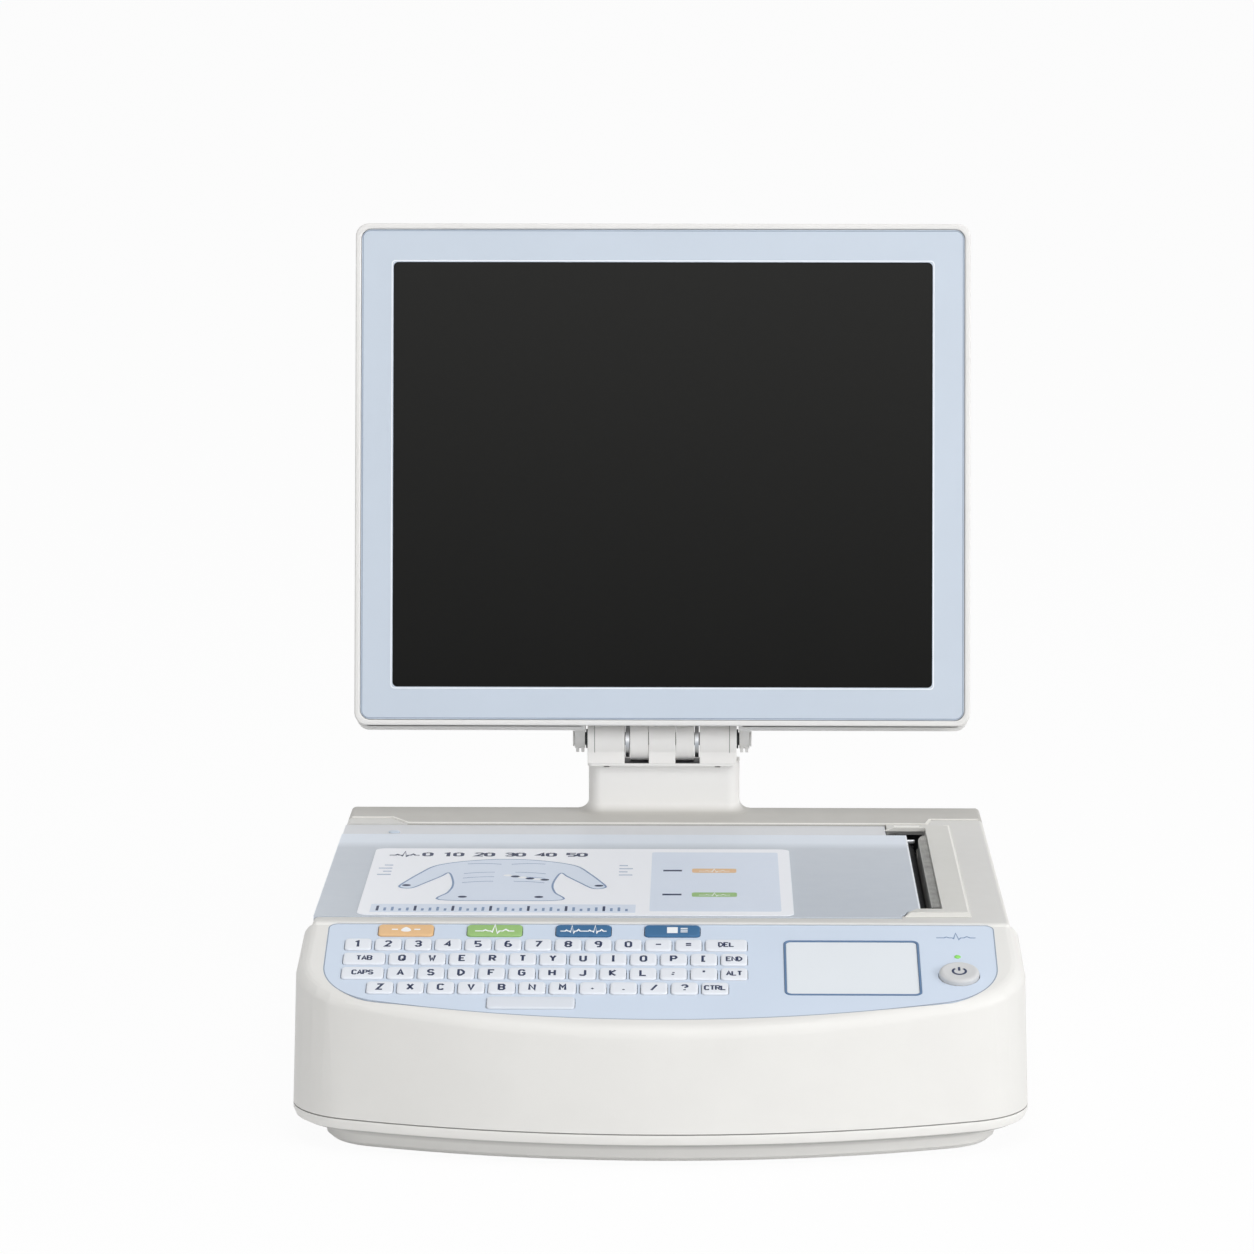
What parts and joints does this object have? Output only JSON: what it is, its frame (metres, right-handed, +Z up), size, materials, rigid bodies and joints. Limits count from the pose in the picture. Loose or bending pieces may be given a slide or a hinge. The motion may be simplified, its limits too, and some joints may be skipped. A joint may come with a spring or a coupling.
{
  "type": "electrocardiograph",
  "caption": "Desktop ecg machine with a tilting display on a rear hinge, a sloping membrane keyboard, a sliding paper cover and a thermal writer.",
  "frame": {"origin": "middle of the machine's footprint box, on the table", "axes": "+X to the operator's right, +Y to the rear, +Z up"},
  "size_m": [0.41, 0.5035, 0.4782],
  "materials": {
    "housing_plastic": "fine satin grain",
    "deck_plastic": "satin",
    "foot_rubber": "matt",
    "screw_steel": "zinc plated",
    "panel_plastic": "satin",
    "overlay_film": "embossed film",
    "mat_rubber": "matt",
    "board_green": "solder mask",
    "key_plastic": "satin",
    "orange_key": "satin",
    "green_key": "satin",
    "blue_key": "satin",
    "pad_frame_blue": "printed border",
    "pad_white": "fine texture",
    "led_green": "clear lens",
    "tray_plastic": "ribbed",
    "cover_plastic": "satin",
    "label_film": "printed film",
    "bright_steel": "satin",
    "platen_rubber": "ground",
    "gear_nylon": "moulded",
    "brass": "turned",
    "motor_steel": "satin",
    "head_aluminium": "extruded",
    "battery_wrap": "shrink film",
    "face_plastic": "satin",
    "screen_glass": "anti-glare",
    "lcd_shell": "moulded"
  },
  "bodies": {
    "machine": {"base_pan": "housing_plastic", "rubber_feet": "foot_rubber", "base_screws": "screw_steel", "top_housing": "housing_plastic", "rear_deck": "deck_plastic", "rear_panel": "panel_plastic", "keyboard_overlay": "overlay_film", "key_mat": "mat_rubber", "keyboard_board": "board_green", "trackpad_frame": "pad_frame_blue", "trackpad": "pad_white", "power_led": "led_green", "paper_tray": "tray_plastic", "stepper_motor": "motor_steel", "writer_frame": "bright_steel", "print_head": "head_aluminium", "head_springs": "bright_steel", "writer_cover": "housing_plastic", "latch_spring": "bright_steel", "main_board": "board_green", "power_supply": "bright_steel", "battery_pack": "battery_wrap", "battery_strap": "bright_steel", "speaker": "motor_steel", "mains_inlet": "panel_plastic", "ground_lug": "brass", "data_ports": "bright_steel", "patient_port": "panel_plastic", "hinge_bracket": "bright_steel", "hinge_drum": "deck_plastic", "hinge_shaft": "bright_steel", "friction_washers": "motor_steel"},
    "display": {"hinge_knuckles": "housing_plastic", "display_arms": "bright_steel", "display_chassis": "bright_steel", "display_back": "housing_plastic", "display_frame": "housing_plastic", "face_plate": "face_plastic", "touch_glass": "screen_glass", "lcd_panel": "lcd_shell", "display_board": "board_green"},
    "cover": {"paper_cover": "cover_plastic", "cover_label": "label_film", "roller_carrier": "bright_steel"},
    "roller": {"roller_shaft": "bright_steel", "platen_roller": "platen_rubber", "roller_gear": "gear_nylon"},
    "idler": {"idler_gear": "gear_nylon"},
    "pinion": {"motor_pinion": "brass"},
    "latch": {"cover_latch": "panel_plastic"},
    "row_1": {"key_row_1": "key_plastic"},
    "row_2": {"key_row_2": "key_plastic"},
    "row_3": {"key_row_3": "key_plastic"},
    "row_4": {"key_row_4": "key_plastic"},
    "space": {"space_bar": "key_plastic"},
    "function_1": {"function_key_1": "orange_key"},
    "function_2": {"function_key_2": "green_key"},
    "function_3": {"function_key_3": "blue_key"},
    "function_4": {"function_key_4": "blue_key"},
    "power": {"power_button": "key_plastic"}
  },
  "joints": [
    {"name": "display_tilt", "type": "hinge", "parent": "machine", "child": "display", "pos_m": [-0.0019, 0.1904, 0.159], "axis": [1, 0, 0], "range_deg": [-15, 100]},
    {"name": "cover_slide", "type": "slide", "parent": "machine", "child": "cover", "axis": [-1, 0, 0], "range_m": [0, 0.23]},
    {"name": "roller_turn", "type": "hinge", "parent": "cover", "child": "roller", "pos_m": [0.1455, 0.0179, 0.0995], "axis": [0, 1, 0], "continuous": true},
    {"name": "idler_turn", "type": "hinge", "parent": "machine", "child": "idler", "pos_m": [0.16133, 0.1279, 0.08842], "axis": [0, 1, 0], "continuous": true},
    {"name": "pinion_turn", "type": "hinge", "parent": "machine", "child": "pinion", "pos_m": [0.16133, 0.1279, 0.0715], "axis": [0, 1, 0], "continuous": true},
    {"name": "latch_press", "type": "slide", "parent": "machine", "child": "latch", "axis": [0, 0, -1], "range_m": [0, 0.003], "stiffness_N_per_m": 500, "springref_m": -0.001, "deforming": ["latch_spring"]},
    {"name": "row_1_press", "type": "slide", "parent": "machine", "child": "row_1", "axis": [0, 0.284, -0.9588], "range_m": [0, 0.001], "stiffness_N_per_m": 800, "springref_m": -0.0006},
    {"name": "row_2_press", "type": "slide", "parent": "machine", "child": "row_2", "axis": [0, 0.284, -0.9588], "range_m": [0, 0.001], "stiffness_N_per_m": 800, "springref_m": -0.0006},
    {"name": "row_3_press", "type": "slide", "parent": "machine", "child": "row_3", "axis": [0, 0.284, -0.9588], "range_m": [0, 0.001], "stiffness_N_per_m": 800, "springref_m": -0.0006},
    {"name": "row_4_press", "type": "slide", "parent": "machine", "child": "row_4", "axis": [0, 0.284, -0.9588], "range_m": [0, 0.001], "stiffness_N_per_m": 800, "springref_m": -0.0006},
    {"name": "space_press", "type": "slide", "parent": "machine", "child": "space", "axis": [0, 0.284, -0.9588], "range_m": [0, 0.001], "stiffness_N_per_m": 500, "springref_m": -0.0006},
    {"name": "function_1_press", "type": "slide", "parent": "machine", "child": "function_1", "axis": [0, 0.284, -0.9588], "range_m": [0, 0.001], "stiffness_N_per_m": 500, "springref_m": -0.0006},
    {"name": "function_2_press", "type": "slide", "parent": "machine", "child": "function_2", "axis": [0, 0.284, -0.9588], "range_m": [0, 0.001], "stiffness_N_per_m": 500, "springref_m": -0.0006},
    {"name": "function_3_press", "type": "slide", "parent": "machine", "child": "function_3", "axis": [0, 0.284, -0.9588], "range_m": [0, 0.001], "stiffness_N_per_m": 500, "springref_m": -0.0006},
    {"name": "function_4_press", "type": "slide", "parent": "machine", "child": "function_4", "axis": [0, 0.284, -0.9588], "range_m": [0, 0.001], "stiffness_N_per_m": 500, "springref_m": -0.0006},
    {"name": "power_press", "type": "slide", "parent": "machine", "child": "power", "axis": [0, 0.284, -0.9588], "range_m": [0, 0.001], "stiffness_N_per_m": 500, "springref_m": -0.0006}
  ],
  "couplings": [
    {"joint": "idler_turn", "follows": "roller_turn", "ratio": -0.6},
    {"joint": "pinion_turn", "follows": "roller_turn", "ratio": 1.5}
  ]
}
